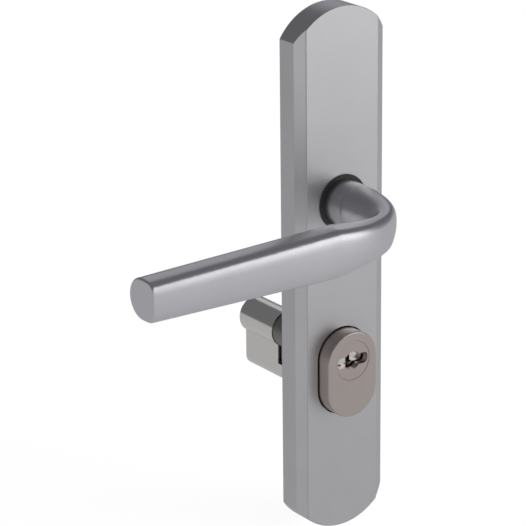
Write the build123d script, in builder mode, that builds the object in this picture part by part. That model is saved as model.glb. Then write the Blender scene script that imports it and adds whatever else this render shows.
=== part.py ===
from build123d import *
from math import cos, hypot, pi, radians, sin, sqrt
import os

# Outside half of a security door fitting with its euro profile cylinder.
# Origin: the lever's axis on the door face. +Z up, +X right, -Y out of the door.
# A depth is a distance out of the door face, towards -Y; into the door it is negative.

# --- Long plate -------------------------------------------------------------
plate_width = 48.0
plate_above = 87.4  # lever axis to the top
plate_below = 154.4  # lever axis to the bottom
crown_margin = 4.5  # the arc of each end has this much over half the width
side_height = 9.8
bevel_width = 4.65
bevel_rise = 2.45
field_step = 0.4  # the front field stands this much over the bevel
field_round = 0.25
cover_wall = 2.0
shell_depth = 8.0  # the cavity between the side walls
deep_cavity_inset = 5.2

# --- Backing pieces ---------------------------------------------------------
gasket_thickness = 1.0
armour_thickness = 4.0
cavity_clearance = 0.2
hole_clearance = 0.3

# --- Through-door posts -----------------------------------------------------
post_heights = (66.0, -36.0, -132.0)
post_radius = 4.75
post_length = 24.0
post_spigot_radius = 3.5
post_head_radius = 4.6
post_head_height = 1.2
post_thread_radius = 2.5  # M6 core
post_thread_depth = 16.0

# --- Machine screws (M3, countersunk) ---------------------------------------
screw_radius = 1.5
screw_head_radius = 2.9
screw_head_height = 1.4
screw_fit = 0.05
screw_socket_radius = 1.0
screw_socket_depth = 0.9
screw_tip_gap = 0.4
boss_radius = 3.2
boss_x = 16.4
boss_heights = (44.0, -122.0)
cover_screw_length = 8.0

# --- Lever ------------------------------------------------------------------
lever_projection = 68.0  # door face to the grip's front
lever_reach = 136.0  # lever axis to the grip's end
grip_depth = 17.0
grip_end_height = 17.4
grip_root_height = 21.4
neck_radius = 10.3
neck_bottom = 9.9
elbow_sweep = 53.0  # the elbow's outer line along the grip
elbow_rise = 44.0  # the same line along the neck
elbow_inner_radius = 6.0
elbow_waist = 16.4  # height at the middle of the elbow
elbow_steps = 4
elbow_samples = 90
grip_squareness = 4.7
grip_end_round = 0.8
section_points = 24
shank_radius = 8.0
shank_flat = 7.2
shank_end = 2.6
running_gap = 0.06

# --- Lever bearing and return spring ----------------------------------------
bush_wall = 0.9
bush_lip = 1.24
bush_flange_height = 0.6
bush_length = 2.8
carrier_radius = 17.0
carrier_wall = 1.0
carrier_floor = 0.8
carrier_top_gap = 0.3
driver_radius = 13.2
driver_thickness = 1.4
driver_gap = 0.1
lug_radius = 15.6
stop_inner_radius = 13.6
lug_angle = 90.0
lug_half_angle = 8.0
lug_overlap = 1.0
stop_half_angle = 6.0
stop_gap_angle = 1.0
lever_travel = 40.0
spring_radius = 11.6
spring_wire = 0.8
spring_turns = 2
washer_thickness = 0.6
washer_radius = 11.4
clip_thickness = 1.0
clip_radius = 10.0
clip_groove = 0.9
clip_opening = 6.0
clip_gap_drop = 2.0  # the opening starts this far below the middle
axial_play = 0.05
armour_lever_hole = 12.0
rivet_radius = 1.0
rivet_head_radius = 1.5
rivet_head_height = 0.6
rivet_circle = 14.3
rivet_angles = (20.0, 200.0, 290.0)

# --- Spindle ----------------------------------------------------------------
spindle_width = 8.0
spindle_front = 30.0
spindle_back = -26.0  # the outside half of a split spindle
spindle_fit = 0.06
spindle_chamfer = 0.35
grub_radius = 2.5
grub_depth = 20.0
grub_recess = 0.6
grub_socket_width = 2.5
grub_socket_depth = 2.0

# --- Cylinder guard ---------------------------------------------------------
lock_centres = 72.0  # lever axis to cylinder axis
guard_front = 20.1
guard_wall = 4.2  # from the disc to the side
guard_drop = 13.4  # cylinder axis to the lower arc's centre
guard_round = 0.7
guard_gap = 0.6
flange_grow = 3.0
flange_thickness = 4.0
guard_screw_wall = 1.5  # between the liner's bore and the upper screws
lower_screw_place = (10.6, -20.0)
guard_screw_length = 6.6

# --- Turning disc in the guard ----------------------------------------------
disc_radius = 9.1
disc_flange_step = 1.3
disc_lip = 1.7
disc_flange_thickness = 1.4
disc_recess = 0.1
disc_fit = 0.1
disc_slot_length = 16.4
disc_slot_height = 5.0
disc_slot_corner = 2.0
disc_eye_radius = 4.2
liner_gap = 0.1
belleville_thickness = 0.25
belleville_height = 0.55
belleville_inner = 8.9
belleville_margin = 0.2

# --- Euro profile cylinder --------------------------------------------------
cam_depth = -24.0  # middle of the cam, in the lock case
outer_half = 40.0
inner_half = 30.0
barrel_radius = 8.5
leg_width = 10.0
profile_height = 33.0
profile_gap = 0.35
plug_radius = 6.5
plug_fit = 0.04
collar_radius = 7.2
collar_thickness = 0.8
notch_width = 10.0
notch_floor = 15.9
cam_width = 8.4
cam_wall = 1.7
cam_bore_step = 0.1  # over the plug
cam_tip_radius = 15.0
cam_nose_width = 7.6
cam_nose_round = 1.5
cam_slot_width = 3.0
cam_slot_step = 0.9  # over the cam's bore
clutch_thickness = 2.4
clutch_fit = 0.1
dog_height = 1.3
plug_gap = 0.1
plug_clip_thickness = 0.6
plug_clip_radius = 7.9
plug_groove = 0.6
plug_clip_opening = 4.0
keyway_width = 2.2
keyway_height = 9.0
keyway_ward = 0.7
ward_offset = 1.8
keyway_end = 7.0  # the keyway stops this far from the cam's middle
fixing_radius = 2.1  # M5 core
fixing_drop = 20.4

# --- Pin stacks -------------------------------------------------------------
pin_radius = 1.4
chamber_fit = 0.05
pin_pitch = 4.0
first_pin = 5.5
pin_count = 5
pin_step = 0.1  # pin ends stand this far off the shear line
outer_bitting = (3.2, 4.1, 2.9, 3.7, 3.4)
inner_bitting = (3.6, 3.0, 4.0, 3.3, 2.8)
pin_point = 0.5
pin_taper = 45
chamber_overlap = 1.0
driver_length = 4.6
pin_spring_radius = 0.95
pin_spring_wire = 0.3
pin_spring_pitch = 1.1
pin_spring_gap = 0.1
cap_height = 3.0
cap_drop = 23.7
drill_pin_radius = 1.0
drill_pin_length = 8.0
drill_pin_offset = 2.4
drill_pin_drops = (10.2, 14.0)

# --- Worked out from the values above ---------------------------------------
half_width = plate_width / 2
crown_radius = half_width + crown_margin
field_half_width = half_width - bevel_width
field_depth = side_height + bevel_rise + field_step
bevel_top = side_height + bevel_rise
cover_inner = field_depth - cover_wall
armour_front = gasket_thickness + armour_thickness
neck_bore = neck_radius + running_gap
bush_radius = neck_bore + bush_wall
bush_flange_radius = bush_radius + bush_lip
cover_thread_end = gasket_thickness + cover_screw_length + screw_tip_gap
guard_thread_end = gasket_thickness + guard_screw_length + screw_tip_gap
carrier_top = cover_inner - carrier_top_gap
driver_front = neck_bottom - driver_gap
driver_back = driver_front - driver_thickness
spring_start = armour_front + carrier_floor + axial_play + spring_wire / 2
spring_end = driver_back - axial_play - spring_wire / 2
spring_pitch = (spring_end - spring_start) / spring_turns
spring_leg = (0, -spring_radius)
washer_front = armour_front - axial_play
clip_front = washer_front - washer_thickness - axial_play
grip_centre = lever_projection - grip_depth / 2
neck_top = lever_projection - elbow_rise
grip_back = lever_projection - grip_depth
grip_root = neck_radius - elbow_sweep
key_height = -lock_centres
cylinder_front = cam_depth + outer_half
cylinder_back = cam_depth - inner_half
leg_bottom = profile_height - barrel_radius
disc_front = guard_front - disc_recess
disc_shoulder = disc_front - disc_lip
disc_back = disc_shoulder - disc_flange_thickness
disc_flange_radius = disc_radius + disc_flange_step
belleville_outer = disc_flange_radius - belleville_margin
liner_front = disc_back - belleville_height - axial_play
liner_bore = barrel_radius + profile_gap
liner_radius = disc_flange_radius
guard_half_width = disc_radius + guard_wall
upper_screw_place = (liner_radius + liner_gap + guard_screw_wall + screw_radius, 0)
plug_bore = plug_radius + plug_fit
cam_bore_radius = plug_radius + cam_bore_step
cam_ring_radius = cam_bore_radius + cam_wall
cam_slot_radius = cam_bore_radius + cam_slot_step
shear_height = key_height - plug_radius

standing = (Align.CENTER, Align.CENTER, Align.MIN)

os.makedirs("parts", exist_ok=True)


# --- Outlines and small shared pieces ---------------------------------------
def plate_face(inset, depth):
    """The long plate's outline, drawn in by an inset, on the plane at a depth."""
    crown = crown_radius - inset
    side = half_width - inset
    drop = crown - sqrt(crown**2 - side**2)
    with BuildSketch(Plane.XZ.offset(depth)) as face:
        with BuildLine():
            corners = []
            for sign, tip in ((1, plate_above - inset), (-1, inset - plate_below)):
                corner = tip - sign * drop
                ThreePointArc((side, corner), (0, tip), (-side, corner))
                corners.append(corner)
            Line((side, corners[0]), (side, corners[1]))
            Line((-side, corners[0]), (-side, corners[1]))
        make_face()
    return face.sketch


def guard_face(grow, depth):
    """The guard's stadium outline, grown by a margin."""
    with BuildSketch(Plane.XZ.offset(depth)) as face:
        for height in (key_height, key_height - guard_drop):
            with Locations((0, height)):
                Circle(guard_half_width + grow)
        with Locations((0, key_height - guard_drop / 2)):
            Rectangle(2 * (guard_half_width + grow), guard_drop)
    return face.sketch


def profile_face(margin, depth):
    """The euro profile, grown by a margin: round barrel over a leg with a round foot."""
    foot = leg_width / 2 + margin
    foot_height = key_height - leg_bottom + leg_width / 2
    with BuildSketch(Plane.XZ.offset(depth)) as face:
        with Locations((0, key_height)):
            Circle(barrel_radius + margin)
        with Locations((0, (key_height + foot_height) / 2)):
            Rectangle(2 * foot, key_height - foot_height)
        with Locations((0, foot_height)):
            Circle(foot)
    return face.sketch


def sector_face(inner, outer, middle, half_angle, depth):
    """A piece of a ring about the lever's axis, between two radii."""
    low = radians(middle - half_angle)
    high = radians(middle + half_angle)
    mid = radians(middle)
    with BuildSketch(Plane.XZ.offset(depth)) as face:
        with BuildLine():
            for radius in (inner, outer):
                ThreePointArc(
                    (radius * cos(low), radius * sin(low)),
                    (radius * cos(mid), radius * sin(mid)),
                    (radius * cos(high), radius * sin(high)),
                )
            for angle in (low, high):
                Line(
                    (inner * cos(angle), inner * sin(angle)),
                    (outer * cos(angle), outer * sin(angle)),
                )
        make_face()
    return face.sketch


def open_ring(inner, outer, opening, centre_height, depth):
    """A retaining clip's face: a ring with a gap at the bottom."""
    with BuildSketch(Plane.XZ.offset(depth)) as face:
        with Locations((0, centre_height)):
            Circle(outer)
            Circle(inner, mode=Mode.SUBTRACT)
        with Locations((0, centre_height - outer)):
            Rectangle(opening, 2 * (outer - clip_gap_drop), mode=Mode.SUBTRACT)
    return face.sketch


def countersunk_screw(length):
    """A flat-headed screw along +Z, its head's face at zero."""
    with BuildPart() as screw:
        Cylinder(screw_radius, length, align=standing)
        with Locations((0, 0, screw_head_height / 2)):
            Cone(screw_head_radius, screw_radius, screw_head_height)
        with BuildSketch(Plane.XY):
            RegularPolygon(screw_socket_radius, 6)
        extrude(amount=screw_socket_depth, mode=Mode.SUBTRACT)
    return screw.part


def pin_spring(length):
    """A pin chamber's coil spring, standing on zero and rising along +Z."""
    height = length - pin_spring_wire
    with BuildPart() as coil:
        with BuildLine():
            path = Helix(
                pin_spring_pitch, height, pin_spring_radius, center=(0, 0, pin_spring_wire / 2)
            )
        with BuildSketch(Plane(path @ 0, z_dir=path % 0)):
            Circle(pin_spring_wire / 2)
        sweep(path=path, is_frenet=True)
    return coil.part


def outward(x, height, depth):
    """A place on the plane at a depth, with its own +Z pointing out of the door."""
    return Plane.XZ.offset(depth).location * Location((x, height, 0))


def pin_row(face_depth, direction):
    """The depths of a pin row, counted from a cylinder face into the door or out of it."""
    return [face_depth + direction * (first_pin + i * pin_pitch) for i in range(pin_count)]


outer_row = pin_row(cylinder_front, -1)
inner_row = pin_row(cylinder_back, 1)
cover_screw_places = [(hand * boss_x, height) for hand in (1, -1) for height in boss_heights]
guard_screw_spots = [
    (hand * x, key_height + z)
    for hand in (1, -1)
    for x, z in (upper_screw_place, lower_screw_place)
]
drill_spots = [(drill_pin_offset - cylinder_front, key_height - d) for d in drill_pin_drops]
rivet_spots = [
    (rivet_circle * cos(radians(a)), rivet_circle * sin(radians(a))) for a in rivet_angles
]

# --- Cover plate: the visible shell -----------------------------------------
with BuildPart() as cover_plate:
    with BuildSketch(Plane.XY.offset(-plate_below)):
        with BuildLine():
            Polyline(
                (half_width, 0),
                (half_width, -side_height),
                (field_half_width, -bevel_top),
                (field_half_width, -field_depth),
                (-field_half_width, -field_depth),
                (-field_half_width, -bevel_top),
                (-half_width, -side_height),
                (-half_width, 0),
                close=True,
            )
        make_face()
    extrude(amount=plate_above + plate_below)
    extrude(plate_face(0, 0), amount=field_depth, mode=Mode.INTERSECT)
    field_rim = cover_plate.faces().sort_by(Axis.Y)[0].edges()
    fillet(field_rim, radius=field_round)
    extrude(plate_face(cover_wall, 0), amount=shell_depth, mode=Mode.SUBTRACT)
    extrude(plate_face(deep_cavity_inset, 0), amount=cover_inner, mode=Mode.SUBTRACT)
    with BuildSketch(Plane.XZ.offset(armour_front)):
        with Locations(*cover_screw_places):
            Circle(boss_radius)
    extrude(amount=cover_inner - armour_front)
    with BuildSketch(Plane.XZ.offset(armour_front)):
        with Locations(*cover_screw_places):
            Circle(screw_radius + screw_fit)
    extrude(amount=cover_thread_end - armour_front, mode=Mode.SUBTRACT)
    with BuildSketch(Plane.XZ):
        Circle(bush_radius)
    extrude(amount=field_depth, mode=Mode.SUBTRACT)
    extrude(guard_face(guard_gap, 0), amount=field_depth, mode=Mode.SUBTRACT)
cover_plate.part.label = "cover_plate"
export_step(cover_plate.part, "parts/cover_plate.step")

# --- Armour plate: hardened steel behind the cover --------------------------
with BuildPart() as armour_plate:
    extrude(
        plate_face(cover_wall + cavity_clearance, gasket_thickness), amount=armour_thickness
    )
    with BuildSketch(Plane.XZ.offset(gasket_thickness)):
        Circle(armour_lever_hole)
        with Locations(*[(0, height) for height in post_heights]):
            Circle(post_spigot_radius)
        with Locations(*rivet_spots):
            Circle(rivet_radius)
    extrude(amount=armour_thickness, mode=Mode.SUBTRACT)
    extrude(
        profile_face(profile_gap, gasket_thickness), amount=armour_thickness, mode=Mode.SUBTRACT
    )
    for x, height in cover_screw_places + guard_screw_spots:
        with Locations(outward(x, height, gasket_thickness)):
            Cylinder(
                screw_radius + screw_fit,
                armour_thickness,
                align=standing,
                mode=Mode.SUBTRACT,
            )
            Cone(
                screw_head_radius + screw_fit,
                screw_radius + screw_fit,
                screw_head_height,
                align=standing,
                mode=Mode.SUBTRACT,
            )
armour_plate.part.label = "armour_plate"
export_step(armour_plate.part, "parts/armour_plate.step")

# --- Gasket between the plate and the door ----------------------------------
with BuildPart() as backing_gasket:
    extrude(plate_face(cover_wall + cavity_clearance, 0), amount=gasket_thickness)
    with BuildSketch(Plane.XZ):
        Circle(armour_lever_hole)
        with Locations(*[(0, height) for height in post_heights]):
            Circle(post_radius + hole_clearance)
    extrude(amount=gasket_thickness, mode=Mode.SUBTRACT)
    extrude(profile_face(2 * profile_gap, 0), amount=gasket_thickness, mode=Mode.SUBTRACT)
backing_gasket.part.label = "backing_gasket"
export_step(backing_gasket.part, "parts/backing_gasket.step")

# --- Threaded posts riveted into the armour plate ---------------------------
with BuildPart() as fixing_posts:
    for height in post_heights:
        with BuildSketch(Plane.XZ.offset(-post_length)):
            with Locations((0, height)):
                Circle(post_radius)
        extrude(amount=post_length + gasket_thickness)
        with BuildSketch(Plane.XZ.offset(gasket_thickness)):
            with Locations((0, height)):
                Circle(post_spigot_radius)
        extrude(amount=armour_thickness)
        with BuildSketch(Plane.XZ.offset(armour_front)):
            with Locations((0, height)):
                Circle(post_head_radius)
        extrude(amount=post_head_height)
        with BuildSketch(Plane.XZ.offset(-post_length)):
            with Locations((0, height)):
                Circle(post_thread_radius)
        extrude(amount=post_thread_depth, mode=Mode.SUBTRACT)
fixing_posts.part.label = "fixing_posts"
export_step(fixing_posts.part, "parts/fixing_posts.step")

# --- Screws that hold the cover to the armour plate -------------------------
cover_screw = countersunk_screw(cover_screw_length)
with BuildPart() as cover_screws:
    with Locations(*[outward(x, z, gasket_thickness) for x, z in cover_screw_places]):
        add(cover_screw)
cover_screws.part.label = "cover_screws"
export_step(cover_screws.part, "parts/cover_screws.step")

# --- Bush: the lever turns in it --------------------------------------------
with BuildPart() as lever_bush:
    with BuildSketch(Plane.XZ.offset(field_depth - bush_length)):
        Circle(bush_radius)
    extrude(amount=bush_length)
    with BuildSketch(Plane.XZ.offset(field_depth)):
        Circle(bush_flange_radius)
    extrude(amount=bush_flange_height)
    with BuildSketch(Plane.XZ.offset(field_depth - bush_length)):
        Circle(neck_bore)
    extrude(amount=bush_length + bush_flange_height, mode=Mode.SUBTRACT)
lever_bush.part.label = "lever_bush"
export_step(lever_bush.part, "parts/lever_bush.step")

# --- Carrier: the cup that holds the return spring and the two stops --------
stop_offset = lug_half_angle + stop_gap_angle + stop_half_angle
first_stop = lug_angle - stop_offset
last_stop = lug_angle + lever_travel + stop_offset
with BuildPart() as spring_carrier:
    with BuildSketch(Plane.XZ.offset(armour_front)):
        Circle(carrier_radius)
    extrude(amount=carrier_top - armour_front)
    with BuildSketch(Plane.XZ.offset(armour_front + carrier_floor)):
        Circle(carrier_radius - carrier_wall)
    extrude(amount=carrier_top, mode=Mode.SUBTRACT)
    for middle in (first_stop, last_stop):
        extrude(
            sector_face(
                stop_inner_radius,
                carrier_radius - carrier_wall / 2,
                middle,
                stop_half_angle,
                armour_front + carrier_floor,
            ),
            amount=carrier_top - armour_front - carrier_floor,
        )
    with BuildSketch(Plane.XZ.offset(armour_front)):
        Circle(shank_radius + 2 * running_gap)
        with Locations(spring_leg):
            Circle(spring_wire / 2 + screw_fit)
        with Locations(*rivet_spots):
            Circle(rivet_radius)
    extrude(amount=carrier_floor, mode=Mode.SUBTRACT)
spring_carrier.part.label = "spring_carrier"
export_step(spring_carrier.part, "parts/spring_carrier.step")

# --- Rivets that hold the carrier -------------------------------------------
with BuildPart() as carrier_rivets:
    for x, height in rivet_spots:
        with BuildSketch(Plane.XZ.offset(gasket_thickness)):
            with Locations((x, height)):
                Circle(rivet_radius)
        extrude(amount=armour_thickness + carrier_floor)
        with BuildSketch(Plane.XZ.offset(armour_front + carrier_floor)):
            with Locations((x, height)):
                Circle(rivet_head_radius)
        extrude(amount=rivet_head_height)
carrier_rivets.part.label = "carrier_rivets"
export_step(carrier_rivets.part, "parts/carrier_rivets.step")

# --- Return spring: a torsion coil with one leg in each plate ---------------
with BuildPart() as return_spring:
    with BuildLine():
        coil_path = Helix(
            spring_pitch,
            spring_end - spring_start,
            spring_radius,
            center=(0, -spring_start, 0),
            direction=(0, -1, 0),
        )
    with BuildSketch(Plane(coil_path @ 0, z_dir=coil_path % 0)):
        Circle(spring_wire / 2)
    sweep(path=coil_path, is_frenet=True)
    with BuildSketch(Plane.XZ.offset(armour_front + axial_play)):
        with Locations(spring_leg):
            Circle(spring_wire / 2)
    extrude(amount=spring_start - armour_front - axial_play)
    with BuildSketch(Plane.XZ.offset(spring_end)):
        with Locations(spring_leg):
            Circle(spring_wire / 2)
    extrude(amount=driver_front - spring_end - axial_play)
return_spring.part.label = "return_spring"
export_step(return_spring.part, "parts/return_spring.step")


def shank_face(radius, flat, depth):
    """The lever shank's outline: a circle with two flats."""
    with BuildSketch(Plane.XZ.offset(depth)) as face:
        Circle(radius)
        Rectangle(2 * flat, 2 * radius, mode=Mode.INTERSECT)
    return face.sketch


# --- Driver: the plate with the lug, keyed to the lever ---------------------
with BuildPart() as lever_driver:
    with BuildSketch(Plane.XZ.offset(driver_back)):
        Circle(driver_radius)
    extrude(amount=driver_thickness)
    extrude(
        sector_face(driver_radius - lug_overlap, lug_radius, lug_angle, lug_half_angle, driver_back),
        amount=driver_thickness,
    )
    extrude(
        shank_face(shank_radius + running_gap, shank_flat + running_gap, driver_back),
        amount=driver_thickness,
        mode=Mode.SUBTRACT,
    )
    with BuildSketch(Plane.XZ.offset(driver_back)):
        with Locations(spring_leg):
            Circle(spring_wire / 2 + screw_fit)
    extrude(amount=driver_thickness, mode=Mode.SUBTRACT)
lever_driver.part.label = "lever_driver"
export_step(lever_driver.part, "parts/lever_driver.step")

# --- Thrust washer and clip that keep the lever in --------------------------
with BuildPart() as thrust_washer:
    with BuildSketch(Plane.XZ.offset(washer_front - washer_thickness)):
        Circle(washer_radius)
        Circle(shank_radius + running_gap, mode=Mode.SUBTRACT)
    extrude(amount=washer_thickness)
thrust_washer.part.label = "thrust_washer"
export_step(thrust_washer.part, "parts/thrust_washer.step")

with BuildPart() as lever_clip:
    extrude(
        open_ring(
            shank_radius - clip_groove + screw_fit,
            clip_radius,
            clip_opening,
            0,
            clip_front - clip_thickness,
        ),
        amount=clip_thickness,
    )
lever_clip.part.label = "lever_clip"
export_step(lever_clip.part, "parts/lever_clip.step")


# --- Lever handle -----------------------------------------------------------
def lever_outline(half_depth, half_height, squareness):
    """Points of a lever section: flatter to the front as squareness grows, round behind."""
    points = []
    for i in range(section_points):
        angle = 2 * pi * (i + 0.5) / section_points
        power = 2 / (squareness if cos(angle) > 0 else 2)
        across = half_depth * abs(cos(angle)) ** power
        up = half_height * abs(sin(angle)) ** power
        points.append(
            (across if cos(angle) > 0 else -across, up if sin(angle) > 0 else -up)
        )
    return points


def lever_section(plane, half_depth, half_height, squareness):
    """One closed section of the lever on a plane whose +X points to the outside of the bend."""
    with BuildSketch(plane) as face:
        with BuildLine():
            Spline(*lever_outline(half_depth, half_height, squareness), periodic=True)
        make_face()
    return face.sketch


def grip_plane(x):
    """The section plane at a place along the straight grip."""
    return Plane(origin=(x, -grip_centre, 0), x_dir=(0, -1, 0), z_dir=(-1, 0, 0))


def between(first, last, share):
    """The value at a share of the way from one to the other."""
    return first + (last - first) * share


def eased(share):
    """A share from 0 to 1 that starts and ends gently."""
    return share**2 * (3 - 2 * share)


def quarter(corner, run, rise):
    """Points of a quarter of an ellipse that starts along +depth and ends along -X."""
    turns = [pi / 2 * i / elbow_samples for i in range(elbow_samples + 1)]
    return [(corner[0] - run * (1 - cos(t)), corner[1] + rise * sin(t)) for t in turns]


def walk(line, share):
    """The point at a share of a line's length, the line given by close points."""
    steps = [hypot(b[0] - a[0], b[1] - a[1]) for a, b in zip(line, line[1:])]
    left = share * sum(steps)
    for start, end, step in zip(line, line[1:], steps):
        if left <= step:
            return [between(start[i], end[i], left / step) for i in (0, 1)]
        left -= step
    return line[-1]


def elbow_height(share):
    """The section's half height: the neck's, the waist's at the middle, the grip's at the end."""
    at_neck = neck_radius * (1 - share) * (1 - 2 * share)
    at_waist = 2 * elbow_waist * share * (1 - share)
    at_grip = grip_root_height / 2 * share * (2 * share - 1)
    return at_neck + at_waist + at_grip


outer_line = quarter((neck_radius, neck_top), elbow_sweep, elbow_rise)
inner_start = (-neck_radius, grip_back - elbow_inner_radius)
inner_arc = quarter(inner_start, elbow_inner_radius, elbow_inner_radius)
inner_line = [(-neck_radius, neck_top)] + inner_arc + [(grip_root, grip_back)]
elbow_sections = []
for step in range(elbow_steps + 1):
    share = step / elbow_steps
    outer = walk(outer_line, share)
    inner = walk(inner_line, share)
    span = hypot(outer[0] - inner[0], outer[1] - inner[1])
    lean = ((outer[0] - inner[0]) / span, (outer[1] - inner[1]) / span)
    elbow_sections.append(
        lever_section(
            Plane(
                origin=((outer[0] + inner[0]) / 2, -(outer[1] + inner[1]) / 2, 0),
                x_dir=(lean[0], -lean[1], 0),
                z_dir=(-lean[1], -lean[0], 0),
            ),
            span / 2,
            elbow_height(share),
            between(2, grip_squareness, eased(share)),
        )
    )
grip_sections = [
    lever_section(
        grip_plane(between(grip_root, -lever_reach, share)),
        grip_depth / 2,
        between(grip_root_height, grip_end_height, share) / 2,
        grip_squareness,
    )
    for share in (0, 0.5, 1)
]
with BuildPart() as lever_handle:
    extrude(elbow_sections[0], amount=neck_bottom - neck_top)
    loft(elbow_sections)
    loft(grip_sections)
    end_rim = lever_handle.faces().sort_by(Axis.X)[0].edges()
    fillet(end_rim, radius=grip_end_round)
    extrude(shank_face(shank_radius, shank_flat, shank_end), amount=neck_bottom - shank_end)
    with BuildSketch(Plane.XZ.offset(clip_front - clip_thickness - axial_play)):
        Circle(shank_radius)
        Circle(shank_radius - clip_groove, mode=Mode.SUBTRACT)
    extrude(amount=clip_thickness + 2 * axial_play, mode=Mode.SUBTRACT)
    with BuildSketch(Plane.XZ.offset(shank_end)):
        Rectangle(spindle_width + 2 * spindle_fit, spindle_width + 2 * spindle_fit)
    extrude(amount=spindle_front - shank_end + spindle_fit, mode=Mode.SUBTRACT)
    with BuildSketch(Plane.XY.offset(-neck_radius)):
        with Locations((0, -grub_depth)):
            Circle(grub_radius + screw_fit)
    extrude(amount=neck_radius, mode=Mode.SUBTRACT)
lever_handle.part.label = "lever_handle"
export_step(lever_handle.part, "parts/lever_handle.step")

# --- Spindle and its grub screw ---------------------------------------------
with BuildPart() as spindle:
    with BuildSketch(Plane.XZ.offset(spindle_back)):
        Rectangle(spindle_width, spindle_width)
    extrude(amount=spindle_front - spindle_back)
    chamfer(spindle.edges().filter_by(Axis.Y), length=spindle_chamfer)
spindle.part.label = "spindle"
export_step(spindle.part, "parts/spindle.step")

grub_bottom = grub_recess - neck_radius
with BuildPart() as spindle_grub_screw:
    with BuildSketch(Plane.XY.offset(grub_bottom)):
        with Locations((0, -grub_depth)):
            Circle(grub_radius)
    extrude(amount=-spindle_width / 2 - axial_play - grub_bottom)
    with BuildSketch(Plane.XY.offset(grub_bottom)):
        with Locations((0, -grub_depth)):
            RegularPolygon(grub_socket_width / 2, 6, major_radius=False)
    extrude(amount=grub_socket_depth, mode=Mode.SUBTRACT)
spindle_grub_screw.part.label = "spindle_grub_screw"
export_step(spindle_grub_screw.part, "parts/spindle_grub_screw.step")

# --- Cylinder guard ---------------------------------------------------------
with BuildPart() as guard_housing:
    extrude(guard_face(flange_grow, armour_front), amount=flange_thickness)
    extrude(guard_face(0, armour_front), amount=guard_front - armour_front)
    guard_rim = guard_housing.faces().sort_by(Axis.Y)[0].edges()
    fillet(guard_rim, radius=guard_round)
    with BuildSketch(Plane.XZ.offset(armour_front)):
        with Locations((0, key_height)):
            Circle(liner_radius + liner_gap)
    extrude(amount=disc_shoulder + axial_play - armour_front, mode=Mode.SUBTRACT)
    extrude(
        profile_face(profile_gap, armour_front),
        amount=cylinder_front + axial_play - armour_front,
        mode=Mode.SUBTRACT,
    )
    with BuildSketch(Plane.XZ.offset(armour_front)):
        with Locations((0, key_height)):
            Circle(disc_radius + disc_fit)
    extrude(amount=guard_front, mode=Mode.SUBTRACT)
    with BuildSketch(Plane.XZ.offset(armour_front)):
        with Locations(*guard_screw_spots):
            Circle(screw_radius + screw_fit)
    extrude(amount=guard_thread_end - armour_front, mode=Mode.SUBTRACT)
guard_housing.part.label = "guard_housing"
export_step(guard_housing.part, "parts/guard_housing.step")

guard_screw = countersunk_screw(guard_screw_length)
with BuildPart() as guard_screws:
    with Locations(*[outward(x, z, gasket_thickness) for x, z in guard_screw_spots]):
        add(guard_screw)
guard_screws.part.label = "guard_screws"
export_step(guard_screws.part, "parts/guard_screws.step")

# --- Liner ring behind the disc ---------------------------------------------
with BuildPart() as guard_liner:
    with BuildSketch(Plane.XZ.offset(armour_front + axial_play)):
        with Locations((0, key_height)):
            Circle(liner_radius)
            Circle(liner_bore, mode=Mode.SUBTRACT)
        with Locations((0, key_height - liner_radius)):
            Rectangle(leg_width + 2 * profile_gap, 2 * liner_radius, mode=Mode.SUBTRACT)
    extrude(amount=liner_front - armour_front - axial_play)
guard_liner.part.label = "guard_liner"
export_step(guard_liner.part, "parts/guard_liner.step")

# --- Turning disc with the key's opening ------------------------------------
with BuildPart() as guard_disc:
    with BuildSketch(Plane.XZ.offset(disc_back)):
        with Locations((0, key_height)):
            Circle(disc_flange_radius)
    extrude(amount=disc_flange_thickness)
    with BuildSketch(Plane.XZ.offset(disc_shoulder)):
        with Locations((0, key_height)):
            Circle(disc_radius)
    extrude(amount=disc_lip)
    with BuildSketch(Plane.XZ.offset(disc_back)):
        with Locations((0, key_height)):
            RectangleRounded(disc_slot_length, disc_slot_height, disc_slot_corner)
            Circle(disc_eye_radius)
    extrude(amount=disc_front - disc_back, mode=Mode.SUBTRACT)
guard_disc.part.label = "guard_disc"
export_step(guard_disc.part, "parts/guard_disc.step")

# --- Belleville washer that presses the disc outwards -----------------------
belleville_base = disc_back - axial_play - belleville_height
with BuildPart() as disc_spring_washer:
    with BuildSketch(Plane.YZ):
        with BuildLine():
            Polyline(
                (-belleville_base, key_height + belleville_inner),
                (-belleville_base - belleville_thickness, key_height + belleville_inner),
                (-belleville_base - belleville_height, key_height + belleville_outer),
                (
                    -belleville_base - belleville_height + belleville_thickness,
                    key_height + belleville_outer,
                ),
                close=True,
            )
        make_face()
    revolve(axis=Axis((0, 0, key_height), (0, 1, 0)))
disc_spring_washer.part.label = "disc_spring_washer"
export_step(disc_spring_washer.part, "parts/disc_spring_washer.step")

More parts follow.
